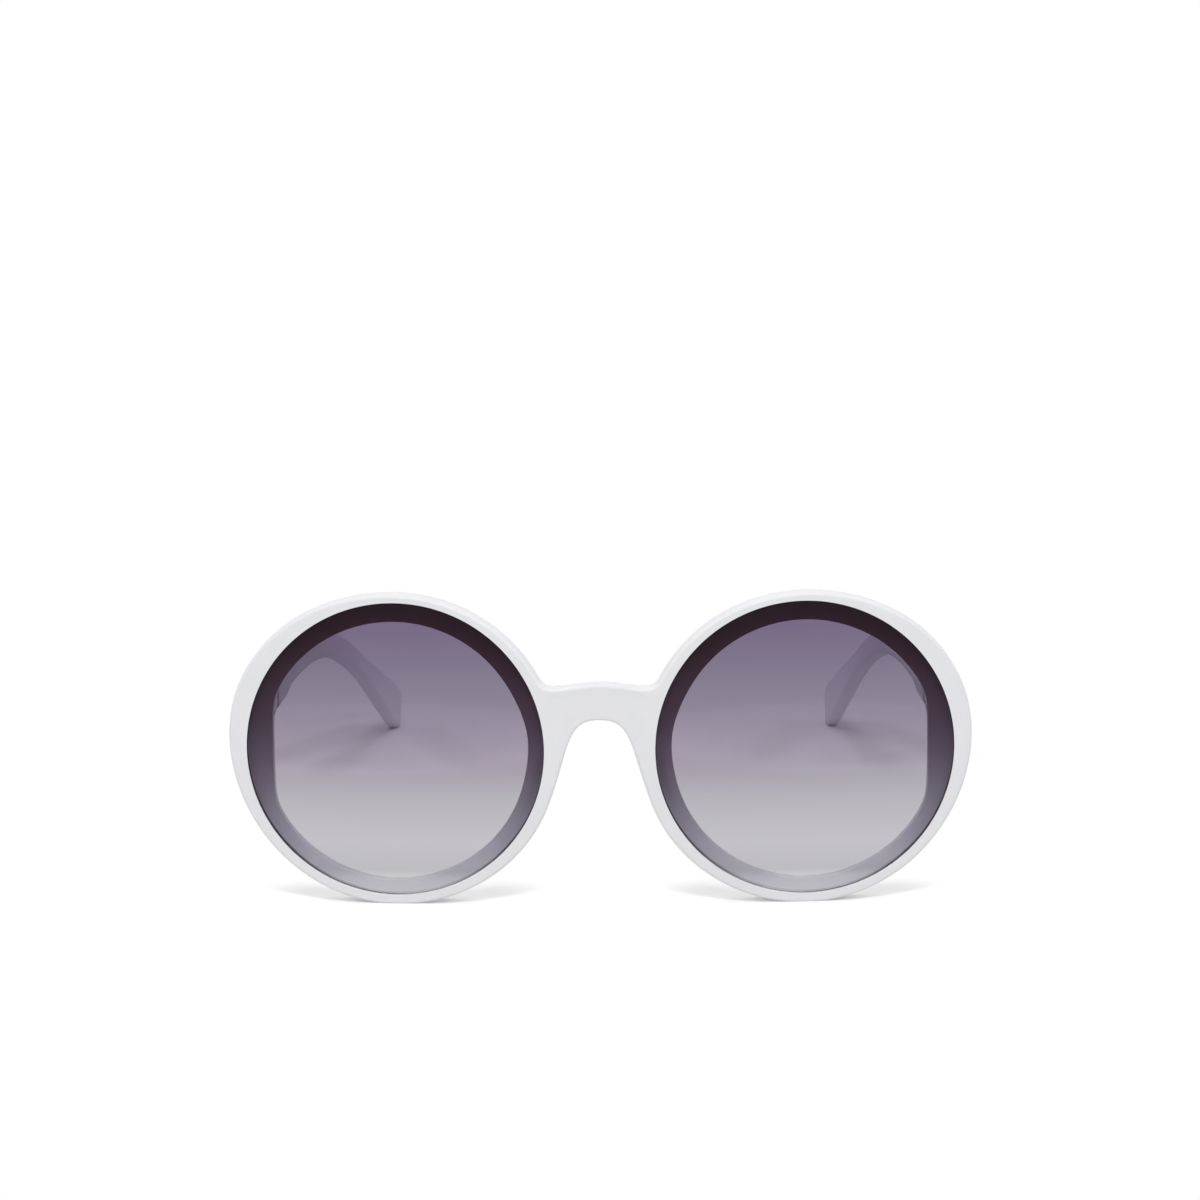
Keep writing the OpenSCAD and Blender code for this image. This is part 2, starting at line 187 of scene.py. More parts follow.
def bezier(points, share):
    a, b, c, d = (Vector(point) for point in points)
    rest = 1 - share
    return rest ** 3 * a + 3 * share * rest ** 2 * b + 3 * share ** 2 * rest * c + share ** 3 * d


FILLET_Z = BRIDGE_RISE - BRIDGE_DIP + FILLET_R
fillet_end = math.degrees(math.asin(FILLET_Z / (LENS_R + RIM_W + FILLET_R)))
fillet_end = math.degrees(math.asin(FILLET_Z / (rim_radius(fillet_end) + FILLET_R)))
FILLET_U = CENTRE_U - (rim_radius(fillet_end) + FILLET_R) * math.cos(math.radians(fillet_end))
ARCH_END, ARCH_SIDE_SHARE, ARCH_TOP_SHARE = 20, 0.74, 0.64
ARCH_TOP = BRIDGE_RISE - BRIDGE_H
TOP_STEPS, FILLET_STEPS, RIM_STEPS, ARCH_STEPS, SEAM_STEPS = 10, 12, 300, 26, 8

outline = []
for step in range(TOP_STEPS):
    share = step / TOP_STEPS
    outline.append(Vector((share * FILLET_U, BRIDGE_RISE - BRIDGE_DIP * ease(share))))
for step in range(FILLET_STEPS):
    turn = math.radians(270 + step / FILLET_STEPS * (90 - fillet_end))
    outline.append(Vector((FILLET_U + FILLET_R * math.cos(turn),
                           FILLET_Z + FILLET_R * math.sin(turn))))
for step in range(RIM_STEPS + 1):
    angle = fillet_end + step / RIM_STEPS * (360 - ARCH_END - fillet_end)
    outline.append(round_lens(rim_radius(angle), angle))
low = outline[-1]
arch_turn = math.radians(ARCH_END)
side = ARCH_SIDE_SHARE * (ARCH_TOP - low.y) * Vector((-math.sin(arch_turn), math.cos(arch_turn)))
arch = [low, low + side, (ARCH_TOP_SHARE * low.x, ARCH_TOP), (0, ARCH_TOP)]
for step in range(1, ARCH_STEPS + 1):
    outline.append(bezier(arch, step / ARCH_STEPS))
print("outline of half the front:", len(outline), "places, to", round(max(p.x for p in outline), 2), "mm")

# %% [markdown]
# ## Which way is inwards
# Every line of the mesh runs round the lens. The outer ones follow the outline of the half
# front, set in from it by a small distance, so each corner of the outline needs to know which
# way is inwards. The inner ones follow the lens, so each corner also gets an angle round it.
# Inside the bridge these angles are spread evenly, so that the faces there stay well shaped.

# %% The way inwards and the angle of every corner
def spread(first, last, share):
    return first + share * (last - first)


def mirrored(index):
    """Place number index of the outline, which goes on over the middle on both ends."""
    if index < 0:
        return Vector((-outline[-index].x, outline[-index].y))
    if index >= len(outline):
        other = outline[2 * len(outline) - 2 - index]
        return Vector((-other.x, other.y))
    return outline[index]


inward = []
for index in range(len(outline)):
    way = (mirrored(index + 1) - mirrored(index - 1)).normalized()
    inward.append(Vector((-way.y, way.x)) if way.length else Vector((0, -1)))
if inward[0].y > 0:
    inward = [-way for way in inward]

rim_start = TOP_STEPS + FILLET_STEPS
rim_end = rim_start + RIM_STEPS
arch_end = rim_end + ARCH_STEPS
COLUMNS = len(outline) + SEAM_STEPS - 1
UNDER, OVER, AT_FILLET = 16.5, 19, 20.5
angles = []
for column in range(COLUMNS):
    if column < TOP_STEPS:
        angles.append(spread(OVER, AT_FILLET, column / TOP_STEPS))
    elif column < rim_start:
        angles.append(spread(AT_FILLET, fillet_end, (column - TOP_STEPS) / FILLET_STEPS))
    elif column <= rim_end:
        angles.append(spread(fillet_end, 360 - ARCH_END, (column - rim_start) / RIM_STEPS))
    elif column <= arch_end:
        level = math.degrees(math.asin(outline[column].y / rim_radius(360 - ARCH_END)))
        rise = UNDER - math.degrees(math.asin(ARCH_TOP / rim_radius(360 - ARCH_END)))
        angles.append(360 + level + rise * ((column - rim_end) / ARCH_STEPS) ** 2)
    else:
        angles.append(360 + spread(UNDER, OVER, (column - arch_end) / SEAM_STEPS))


print("round the lens:", COLUMNS, "corners, from", angles[0], "to", round(angles[-1], 2), "degrees")

# %% [markdown]
# ## A line at a depth
# Each step of the profile is one whole line of the mesh, laid at a depth behind the face. An
# outer line closes over the middle of the bridge, and between an outer and an inner line each
# corner lies a share of the way.

# %% Lines at a depth
def flat(place, depth):
    return Vector((place.x, depth, place.y)) * MM


def outer_open(setback, depth):
    """The outline of the half front, set in by a distance, at a depth."""
    line = []
    for index, (place, way) in enumerate(zip(outline, inward)):
        value = setback(index) if callable(setback) else setback
        line.append(flat(place + value * way, depth))
    return line


def closed_over_bridge(line):
    """An open outer line with the corners that close it along the middle of the bridge."""
    seam = [line[-1].lerp(line[0], step / SEAM_STEPS) for step in range(1, SEAM_STEPS)]
    return line + seam


def inner_line(radius, depth):
    """A line round the lens. The radius may depend on the angle."""
    return [flat(round_lens(radius(angle) if callable(radius) else radius, angle), depth)
            for angle in angles]


def between(first, last, shares):
    return [[a.lerp(b, share(index) if callable(share) else share)
             for index, (a, b) in enumerate(zip(first, last))] for share in shares]


print("outer line:", len(outer_open(0, 0)), "corners, inner line:", len(inner_line(LENS_R, 0)), "corners")

# %% [markdown]
# ## The front
# The real front is one injection moulding: two rims and a bridge, a pocket in which each lens
# snaps against a shelf, moulded nose pads, and an end piece on each side that holds the hinge.
# It could be cut out of a plate with booleans, but rounded edges on such a cut are hard to
# control. Here the profile is led round the lens instead, from the pocket over the face, round
# the outer edge, over the back and in to the shelf, and it closes on itself. In front, a lip as
# thin as a hair reaches over the lens, which snapped in behind it and is held by it.

# %% Profile of the front
LENS_INSET, SEAT_GAP, LIP_R, SHELF_LIP_R = 0.4, 0.05, 0.06, 0.3
POCKET_R = LENS_R + SEAT_GAP
SNAP_LIP, SNAP_T, SNAP_ROUND = 0.18, 0.3, 0.03
LIP_IN = POCKET_R - SNAP_LIP
LEAST_FACE_W = 0.05
SEAT_DEPTH = LENS_INSET + LENS_T
SHELF_W, SHELF_TOP_W, SHELF_SIDE_W, SHELF_OUT = 3.6, 0.8, 5.2, 0.3
SHELF_BLEND, STRAIGHT_FROM = 0.55, 0.1
NOSE_RELIEF, NOSE_RELIEF_AT, NOSE_RELIEF_SPREAD = 0.42, 6, 14


def shelf_radius(angle, grow=0.0):
    """Radius of the opening in the shelf: a circle set low, cut straight beside the temple."""
    turn = math.radians(angle)
    drop = -SHELF_TOP_W * math.sin(turn) - SHELF_OUT * math.cos(turn)
    circle = LENS_R - SHELF_W + grow
    radius = drop + math.sqrt(circle ** 2 - SHELF_TOP_W ** 2 - SHELF_OUT ** 2 + drop ** 2)
    radius += NOSE_RELIEF * swell(angle, NOSE_RELIEF_AT, NOSE_RELIEF_SPREAD)
    if math.cos(turn) < -STRAIGHT_FROM:
        straight = (LENS_R - SHELF_SIDE_W + grow) / -math.cos(turn)
        radius -= SHELF_BLEND * math.log(1 + math.exp((radius - straight) / SHELF_BLEND))
    return radius


def face_round(index):
    """Width of the rounding of the face's edge, which a slim rim squeezes."""
    if rim_start <= index <= rim_end:
        return min(FACE_EDGE_R, rim_radius(angles[index]) - LIP_IN - LIP_R - LEAST_FACE_W)
    return FACE_EDGE_R


print("opening in the shelf:", [round(shelf_radius(angle), 2) for angle in (0, 90, 180, 270)], "mm")

# %% [markdown]
# ## Lines of the profile
# Between two edges the corners lie in equal shares, and round an edge they lie on an arc. Close
# inside each edge of the face one more line is laid, so that the shading of the flat face isn't
# drawn into the rounding.

# %% Lines of the face, the edge and the back
FACE_SPANS, ROUND_SPANS, BACK_SPANS = 6, 8, 14
KEEP_FLAT_W, SIDE_SHARES = 0.15, (0.34, 0.67)
quarter = [math.radians(90 * step / ROUND_SPANS) for step in range(ROUND_SPANS + 1)]
face_outer = closed_over_bridge(outer_open(face_round, 0))
face_inner = inner_line(LIP_IN + LIP_R, 0)


def just_inside(column):
    """Share of the way to the outer line that stops a little before it, to keep the face flat."""
    width = (face_outer[column] - face_inner[column]).length / MM
    return 1 - min(KEEP_FLAT_W / width, 0.5 / FACE_SPANS)


face_shares = [lambda column: 1 - just_inside(column)]
face_shares += [k / FACE_SPANS for k in range(1, FACE_SPANS)] + [just_inside]
face_lines = [face_inner] + between(face_inner, face_outer, face_shares) + [face_outer]

edge_lines = []
for turn in quarter:
    edge_lines.append(outer_open(lambda index: face_round(index) * (1 - math.sin(turn)),
                                 FACE_EDGE_R * (1 - math.cos(turn))))
for share in SIDE_SHARES:
    edge_lines.append(outer_open(0, FACE_EDGE_R + share * (FRONT_T - FACE_EDGE_R - BACK_EDGE_R)))
for turn in quarter:
    edge_lines.append(outer_open(BACK_EDGE_R * (1 - math.cos(turn)),
                                 FRONT_T - BACK_EDGE_R * (1 - math.sin(turn))))

back_outer = closed_over_bridge(outer_open(BACK_EDGE_R, FRONT_T))
back_inner = inner_line(lambda angle: shelf_radius(angle, SHELF_LIP_R), FRONT_T)
back_lines = [back_outer]
back_lines += between(back_outer, back_inner, [k / BACK_SPANS for k in range(1, BACK_SPANS)])
back_lines.append(back_inner)
print("face, edge and back:", len(face_lines), len(edge_lines), len(back_lines), "lines")

# %% [markdown]
# ## Shelf, pocket and lip
# From the back the lines turn into the opening of the shelf and come forward through it. A small
# round leads on to the flat seat behind the lens, and from there the wall of the pocket leads to
# the lip in front of the lens. The last line is the first one again.

# %% Lines inside the opening
LIP_TURNS = (30, 60, 90)


def opening(grow):
    return lambda angle: shelf_radius(angle, grow)


def middle_of_seat(angle):
    return (POCKET_R + shelf_radius(angle)) / 2


inside = []
for turn in LIP_TURNS:
    turn = math.radians(turn)
    inside.append((opening(SHELF_LIP_R * (1 - math.sin(turn))),
                   FRONT_T - SHELF_LIP_R * (1 - math.cos(turn))))
inside += [(shelf_radius, SEAT_DEPTH + SHELF_LIP_R / 2),
           (opening(SHELF_LIP_R / 6), SEAT_DEPTH + SHELF_LIP_R / 6),
           (opening(SHELF_LIP_R / 2), SEAT_DEPTH),
           (middle_of_seat, SEAT_DEPTH),
           (POCKET_R, SEAT_DEPTH),
           (POCKET_R, SEAT_DEPTH / 2),
           (POCKET_R, SNAP_T + SNAP_ROUND),
           (LIP_IN + SNAP_ROUND, SNAP_T),
           (LIP_IN, SNAP_T - SNAP_ROUND)]
for turn in LIP_TURNS:
    turn = math.radians(turn - LIP_TURNS[0])
    inside.append((LIP_IN + LIP_R * (1 - math.cos(turn)), LIP_R * (1 - math.sin(turn))))
inside_lines = [inner_line(radius, depth) for radius, depth in inside] + [face_inner]
print("whole profile of the rim:", len(face_lines + edge_lines + back_lines + inside_lines), "lines")

# %% [markdown]
# ## Half the front, still flat
# A circle becomes the lip of the pocket, and its edge is extruded over the face. The outer edge
# is then extruded round to the back, where one new edge along the middle of the bridge closes
# the loop, so that the back and the opening in the shelf can follow in the same way.

# %% Half the front, drawn flat
SAME_PLACE = 1e-7
outer_tree = tree_of(edge_lines[0])


def select_edges(piece, test):
    """Selects the edges whose two ends pass a test, and nothing else."""
    bpy.ops.mesh.select_mode(type="EDGE")
    bpy.ops.mesh.select_all(action="DESELECT")
    mesh = bmesh.from_edit_mesh(piece.data)
    for edge in mesh.edges:
        if test(edge.verts[0].co, edge.verts[1].co):
            edge.select_set(True)
    bmesh.update_edit_mesh(piece.data)


def on_outer(place):
    """Number of the outline's corner at a place, or None."""
    _, index, distance = outer_tree.find(place)
    return index if distance < SAME_PLACE else None


def joins_outline(a, b):
    first, second = on_outer(a), on_outer(b)
    return first is not None and second is not None and abs(first - second) == 1


front = start_ring("moulded_front", face_lines[0])
extrude_through(front, face_lines)
select_edges(front, joins_outline)
extrude_through(front, edge_lines)
# The back line is closed along the middle of the bridge by one edge, cut into equal steps
deep = FRONT_T * MM - SAME_PLACE
select_edges(front, lambda a, b: False)
bpy.ops.mesh.select_mode(type="VERT")
mesh = bmesh.from_edit_mesh(front.data)
for corner in mesh.verts:
    corner.select_set(abs(corner.co.x) < SAME_PLACE and corner.co.y > deep)
bmesh.update_edit_mesh(front.data)
bpy.ops.mesh.edge_face_add()
bpy.ops.mesh.select_mode(type="EDGE")
bpy.ops.mesh.subdivide(number_cuts=SEAM_STEPS - 1)
select_edges(front, lambda a, b: a.y > deep and b.y > deep)
extrude_through(front, back_lines + inside_lines)
tidy(front)
tell(front)

# %% [markdown]
# ## Hollow and nose pads
# The face of the bridge has a shallow hollow. Behind each rim the nose side swells back to a pad
# that rests on the nose: in a mould such a pad is no separate knob, but flows out of the rim, so
# the corners of the back are pulled out by a soft amount.

# %% Hollow of the bridge and nose pads
SCOOP_T, SCOOP_HALF_W, SCOOP_EDGE = 0.5, CENTRE_X - LENS_R - RIM_W - NOSE_SIDE_W / 2, 0.7
PAD_OUT, PAD_W, PAD_HIGH, PAD_LOW, PAD_END_L = 3.4, 5.0, 2.0, -15.5, 7
PAD_CROWN_W, PAD_CROWN_DROP = 2.1, 0.5
NOSE_LINE_STEPS = 40
nose_tree = tree_of([(place.x, 0, place.y) for place in outline[rim_end - NOSE_LINE_STEPS:]])


def scoop(along, depth):
    share = (1 - abs(along) / SCOOP_HALF_W) / (1 - SCOOP_EDGE)
    return SCOOP_T * ease(share) * max(1 - 2 * depth / FRONT_T, 0)


def pad(along, up, depth):
    """How far a place on the back is pulled out for the nose pad."""
    if depth <= FACE_EDGE_R or not PAD_LOW < up < PAD_HIGH:
        return 0.0
    inside = nose_tree.find((along, 0, up))[2]
    if inside > PAD_W:
        return 0.0
    height = ease((PAD_HIGH - up) / PAD_END_L) * ease((up - PAD_LOW) / PAD_END_L)
    crown = 1 - PAD_CROWN_DROP * max(1 - inside / PAD_CROWN_W, 0) ** 2
    fall = 1 - ease((inside - PAD_CROWN_W) / (PAD_W - PAD_CROWN_W))
    grip = min((depth - FACE_EDGE_R) / (FRONT_T - BACK_EDGE_R - FACE_EDGE_R), 1)
    return PAD_OUT * height * crown * fall * grip


print("hollow:", SCOOP_T, "mm deep, nose pads:", PAD_W, "mm wide and up to", PAD_OUT, "mm deep")

# %% [markdown]
# ## The bend
# The half is laid on its bend: a large arc at the bridge, with the rims running straight back
# beside it. Blender's bend needs a window, so the arc is worked out. The rims and the temple
# tips are set down a hair below the floor, and what dips under it is laid flat there later, so
# that the pair stands.

# %% Lay the half on its bend
def bent(along, depth):
    """Flat place to the front's upright drawing, across and back."""
    turn = min(abs(along), FLEX_U) / FLEX_R
    run = max(abs(along) - FLEX_U, 0)
    across = (FLEX_R - depth) * math.sin(turn) + run * math.cos(turn)
    back = FLEX_R * (1 - math.cos(turn)) + run * math.sin(turn) + depth * math.cos(turn)
    return math.copysign(across, along), back


SET_DOWN = 0.2
CENTRE_Z = rim_radius(270) - SET_DOWN


def upright(place):
    """A flat place, in metres, laid on the bend."""
    along, depth, up = place / MM
    depth += scoop(along, depth) + pad(along, up, depth)
    across, back = bent(along, depth)
    return Vector((across if along else 0, back, CENTRE_Z + up)) * MM


for corner in front.data.vertices:
    corner.co = upright(corner.co)
tell(front)

# %% [markdown]
# ## End pieces
# Behind each outer brow a block stands out of the rim and takes the hinge. It is a cube with
# bevelled edges, sunk a little into the rim's back, so that a boolean finds solid to join it to.

# %% Sizes of the joint and a block for it
KNUCKLE_R, KNUCKLE_GAP, END_PIECE_L, ROOT_T, ROOT_H = 1.4, 0.3, 4.3, 4.4, 9.2
JOINT_SHARE, HEEL_SHARE = 0.9, 0.12
EDGE_R, BUTT_R, SUNK, EDGE_SPANS, BUTT_SPANS = 1.2, 0.25, 0.6, 8, 3
HINGE_IN, HINGE_UP = 4.3, 10.3
HINGE_X, HINGE_Z = CENTRE_X + LENS_R - HINGE_IN, CENTRE_Z + HINGE_UP
JOINT_Y = bent(HINGE_X, FRONT_T)[1] + END_PIECE_L
PIN_Y = JOINT_Y + KNUCKLE_R + KNUCKLE_GAP
TEMPLE_IN_X = HINGE_X - KNUCKLE_R + KNUCKLE_GAP / 2


def end_piece(name):
    """A bevelled block from inside the rim's back to the joint, on the wearer's left."""
    low = (HINGE_X - KNUCKLE_R, JOINT_Y - END_PIECE_L - SUNK,
           HINGE_Z - ROOT_H * (JOINT_SHARE + 2 * HEEL_SHARE) / 2)
    high = (TEMPLE_IN_X + ROOT_T, JOINT_Y, HINGE_Z + ROOT_H * JOINT_SHARE / 2)
    bpy.ops.object.select_all(action="DESELECT")
    bpy.ops.mesh.primitive_cube_add(size=1)
    block = bpy.context.object
    block.name = block.data.name = name
    for corner in block.data.vertices:
        corner.co = Vector([high[i] if corner.co[i] > 0 else low[i] for i in range(3)]) * MM
    bpy.ops.object.mode_set(mode="EDIT")
    select_edges(block, lambda a, b: abs(a.y - b.y) > MM)
    bpy.ops.mesh.bevel(offset=EDGE_R * MM, segments=EDGE_SPANS, affect="EDGES")
    select_edges(block, lambda a, b: min(a.y, b.y) > JOINT_Y * MM - SAME_PLACE)
    bpy.ops.mesh.bevel(offset=BUTT_R * MM, segments=BUTT_SPANS, affect="EDGES")
    tidy(block)
    return block


left_end = end_piece("end_piece_left")
tell(left_end)

# %% [markdown]
# ## Tools for both sides
# What both sides have is modelled once, for the wearer's left, and a copy is turned over the
# middle of the pair. Turning a mesh over turns its normals in, so they are made right again.

# %% Helpers for modifiers, smoothing and the other side
SMOOTH_BELOW = 40


def only(piece):
    """Makes one object the selected and active one."""
    bpy.ops.object.select_all(action="DESELECT")
    piece.select_set(True)
    bpy.context.view_layer.objects.active = piece


def apply_modifiers(piece):
    only(piece)
    for modifier in list(piece.modifiers):
        bpy.ops.object.modifier_apply(modifier=modifier.name)


def combine(piece, other, how):
    """Joins another closed piece to a piece or takes it away, and removes the other."""
    boolean = piece.modifiers.new(how.lower(), "BOOLEAN")
    boolean.operation, boolean.solver, boolean.object = how, "EXACT", other
    apply_modifiers(piece)
    bpy.data.objects.remove(other)


def smooth(piece, angle=SMOOTH_BELOW):
    """Smooth shading, except over edges that turn by more than an angle in degrees."""
    only(piece)
    bpy.ops.object.shade_smooth_by_angle(angle=math.radians(angle))


def mirrored_copy(piece, name):
    """A copy for the other side, turned over the middle of the pair, with its own mesh."""
    only(piece)
    bpy.ops.object.duplicate()
    twin = bpy.context.object
    twin.name = twin.data.name = name
    bpy.ops.transform.resize(value=(-1, 1, 1), center_override=(0, 0, 0))
    bpy.ops.object.transform_apply(location=True, rotation=True, scale=True)
    bpy.ops.object.mode_set(mode="EDIT")
    bpy.ops.mesh.select_all(action="SELECT")
    bpy.ops.mesh.normals_make_consistent(inside=False)
    bpy.ops.object.mode_set(mode="OBJECT")
    return twin


right_end = mirrored_copy(left_end, "end_piece_right")
tell(right_end)

# %% [markdown]
# ## Both halves
# A Mirror modifier makes the other half of the front and welds the two along the middle of the
# bridge. A boolean joins the end pieces to the front, which stays one closed moulding. The front
# then leans back a little, as it does when the pair stands on its rims, and goes to its place.

# %% Mirror the front, join its end pieces and place it
def in_row(place):
    """A place of the upright drawing, in metres, leant back and moved to its place."""
    return Vector((place.x, place.y * math.cos(LEAN) + place.z * math.sin(LEAN) - MIDDLE_Y * MM,
                   place.z * math.cos(LEAN) - place.y * math.sin(LEAN)))


twin_half = front.modifiers.new("other half", "MIRROR")
twin_half.use_clip = True
twin_half.merge_threshold = MERGE
apply_modifiers(front)
for block in (left_end, right_end):
    combine(front, block, "UNION")
for corner in front.data.vertices:
    corner.co = in_row(corner.co)
    corner.co.z = max(corner.co.z, 0)
smooth(front)
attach(front, "front")
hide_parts("front_frame")
tell(front)
places = [corner.co for corner in front.data.vertices]
ends = [[limit(place[axis] for place in places) for axis in range(3)] for limit in (min, max)]
print("box of the front:", [tuple(round(1000 * x, 2) for x in end) for end in ends])

# %% [markdown]
# ## Lenses
# Each lens is a round disc cut from a slightly curved sheet. Its front and its back lie on
# large spheres, and a narrow flat land round the back seats on the shelf. A flattened UV sphere
# would put its poles on the wrong axis, so the lens is led from a small ring at the middle of
# its back, out over the land and the edge, and in again over its face. Dense rings keep the
# reflections on it calm.

# %% Model a lens
def in_lens(radius, angle, out):
    """Place on the wearer's left lens: out is how far in front of the face it lies."""
    turn = math.radians(angle)
    across, up = radius * math.cos(turn), radius * math.sin(turn)
    centre_y = bent(CENTRE_U, 0)[1]
    x = CENTRE_X + across * math.cos(WRAP) + out * math.sin(WRAP)
    y = centre_y + across * math.sin(WRAP) - out * math.cos(WRAP)
    return in_row(Vector((x, y, CENTRE_Z + up)) * MM)


def dome(radius, rim, out):
    """Height of a sphere of the lens's curve over a radius, where it is out at its rim."""
    return out + math.sqrt(LENS_CURVE_R ** 2 - radius ** 2) - math.sqrt(LENS_CURVE_R ** 2 - rim ** 2)


def close_end(share=0.5):
    """Closes the selected loop with a face, which is inset to a ring and poked in the middle."""
    bpy.ops.mesh.edge_face_add()
    bpy.ops.mesh.extrude_region_move()
    bpy.ops.transform.resize(value=(share, share, share))
    bpy.ops.mesh.poke()


LAND_R = LENS_R - LENS_LAND_W
CHAMFER = 0.12
BACK_OUT = SEAT_GAP - SEAT_DEPTH
LENS_CORNERS, LENS_RINGS = 128, 14
profile = []
for step in range(1, LENS_RINGS + 1):
    radius = LAND_R * step / LENS_RINGS
    profile.append((radius, dome(radius, LAND_R, BACK_OUT)))
profile += [(LENS_R - CHAMFER, BACK_OUT), (LENS_R, BACK_OUT + CHAMFER)]
profile += [(LENS_R, -LENS_INSET - CHAMFER)]
for step in range(LENS_RINGS, 0, -1):
    radius = (LENS_R - CHAMFER) * step / LENS_RINGS
    profile.append((radius, dome(radius, LENS_R, -LENS_INSET)))
lens_lines = [[in_lens(radius, 360 * corner / LENS_CORNERS, out) for corner in range(LENS_CORNERS)]
              for radius, out in profile]
lens = start_ring("lens_pane_left", lens_lines[0])
extrude_through(lens, lens_lines)
close_end()
first_ring = tree_of(lens_lines[0])
select_edges(lens, lambda a, b: max(first_ring.find(a)[2], first_ring.find(b)[2]) < SAME_PLACE)
close_end()
tidy(lens)
other_lens = mirrored_copy(lens, "lens_pane_right")
for piece, node in ((lens, "lens_left"), (other_lens, "lens_right")):
    smooth(piece)
    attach(piece, "front")
    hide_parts(node)
    tell(piece)

# %% [markdown]
# ## The line of a temple
# A temple runs level from the hinge, bends down over the ear and ends in a blunt tip. One long
# Bezier curve draws that, from the joint over the crest and the hook to the tip. The arm is slim
# in the middle and taller towards the tip, and it grows thinner all the way.

# %% The line of a temple
TEMPLE_L, MID_H, TIP_H, TIP_T = 136, 5, 9.8, 3.0
SQUEEZE, SQUEEZE_BOW_SHARE, TIP_CORNER_R, START_IN = 16.3, 0.14, 2.5, 1
HOOK_RUN_SHARE, HOOK_Z_SHARE, CREST_RUN_SHARE, CREST_Z_SHARE = 0.54, 0.86, 0.435, 1.03
THIN_RUN_SHARE, THIN_POWER, WIDEN_RUN_SHARE = 0.62, 1.1, 0.68
HEEL_RUN_SHARE, HEEL_FADE_SHARE = 0.085, 0.05
ROOT_Y = JOINT_Y * math.cos(LEAN) + HINGE_Z * math.sin(LEAN)
ROOT_Z = HINGE_Z * math.cos(LEAN) - JOINT_Y * math.sin(LEAN)
HOOK = Vector((HOOK_RUN_SHARE * TEMPLE_L, HOOK_Z_SHARE * ROOT_Z))
CREST = Vector((CREST_RUN_SHARE * TEMPLE_L, CREST_Z_SHARE * ROOT_Z))
TIP_TURN = math.atan2(HOOK.y - TIP_H / 2, TEMPLE_L - HOOK.x)
TIP_Z = (TIP_CORNER_R * (1 - math.sin(TIP_TURN)) + (TIP_H / 2 - TIP_CORNER_R) * math.cos(TIP_TURN)
         - SET_DOWN)
arm = [Vector((-START_IN, ROOT_Z)), CREST, HOOK, Vector((TEMPLE_L, TIP_Z))]
TIP_RUN = 3 * (arm[3] - arm[2]).length


def arm_way(share):
    rest = 1 - share
    return (rest ** 2 * (arm[1] - arm[0]) + 2 * share * rest * (arm[2] - arm[1])
            + share ** 2 * (arm[3] - arm[2])).normalized()


def arm_height(run):
    if run < THIN_RUN_SHARE:
        return MID_H + (ROOT_H * JOINT_SHARE - MID_H) * (1 - run / THIN_RUN_SHARE) ** THIN_POWER
    return MID_H + (TIP_H - MID_H) * ease((run - WIDEN_RUN_SHARE) / (1 - WIDEN_RUN_SHARE))


def arm_thickness(run):
    return ROOT_T + (TIP_T - ROOT_T) * run


print("arm's height at the joint, ear and tip:", [round(arm_height(run), 1) for run in (0, 0.7, 1)], "mm")

# %% [markdown]
# ## The section of a temple
# Across the arm lies a rounded rectangle. Near the joint it reaches lower, which gives the arm
# the heel that stands against the end piece. At the tip it shrinks as a round corner does.

# %% The section of a temple
CORNER_STEPS, LEAST_HALF_T, LEAST_FLAT_W = 6, 0.1, 0.05


def rounded(reach, radius):
    """How much a section shrinks where it lies within a corner's radius of the tip."""
    return radius - math.sqrt(radius ** 2 - (radius - reach) ** 2) if reach < radius else 0


def arm_section(share):
    """Corners of the temple's rounded section, in the row, in metres."""
    centre, way = bezier(arm, share), arm_way(share)
    run = centre.x / TEMPLE_L
    squeezed = SQUEEZE * ((1 - SQUEEZE_BOW_SHARE) * run + SQUEEZE_BOW_SHARE * run * run)
    middle_x = TEMPLE_IN_X + arm_thickness(run) / 2 - squeezed
    reach = (1 - share) * TIP_RUN
    edge = min(EDGE_R, TIP_T / 2 - LEAST_HALF_T)
    half_t = arm_thickness(run) / 2 - rounded(reach, edge)
    top = arm_height(run) / 2 - rounded(reach, TIP_CORNER_R)
    low = top + ROOT_H * HEEL_SHARE * (1 - ease((run - HEEL_RUN_SHARE) / HEEL_FADE_SHARE))
    radius = min(edge, half_t - LEAST_FLAT_W)
    corners = []
    for quarter_turn in range(4):
        for step in range(CORNER_STEPS + 1):
            turn = math.radians(90 * (quarter_turn + step / CORNER_STEPS))
            side_x = 1 if quarter_turn in (0, 3) else -1
            side_z = 1 if quarter_turn < 2 else -1
            across = side_x * (half_t - radius) + radius * math.cos(turn)
            up = side_z * ((top if side_z > 0 else low) - radius) + radius * math.sin(turn)
            corners.append(Vector((middle_x + across, ROOT_Y + centre.x - up * way.y - MIDDLE_Y,
                                   centre.y + up * way.x)) * MM)
    return corners


print("section of the arm:", len(arm_section(0)), "corners")

# %% [markdown]
# ## A temple is led along its line
# The first section lies on the plane of the joint, which leans with the front. The last sections
# crowd together and shrink on an arc, which rounds the corners of the tip.

# %% Lead the section along the temple
JOINT_GAP, FIRST_SHARE, ARM_MERGE = 0.06, 0.012, 5e-6
joint_row = in_row(Vector((0, JOINT_Y + JOINT_GAP, HINGE_Z)) * MM)


def to_joint(place):
    """The place's own height on the plane of the joint, which leans with the front."""
    return Vector((place.x, joint_row.y + (place.z - joint_row.z) * math.tan(LEAN), place.z))


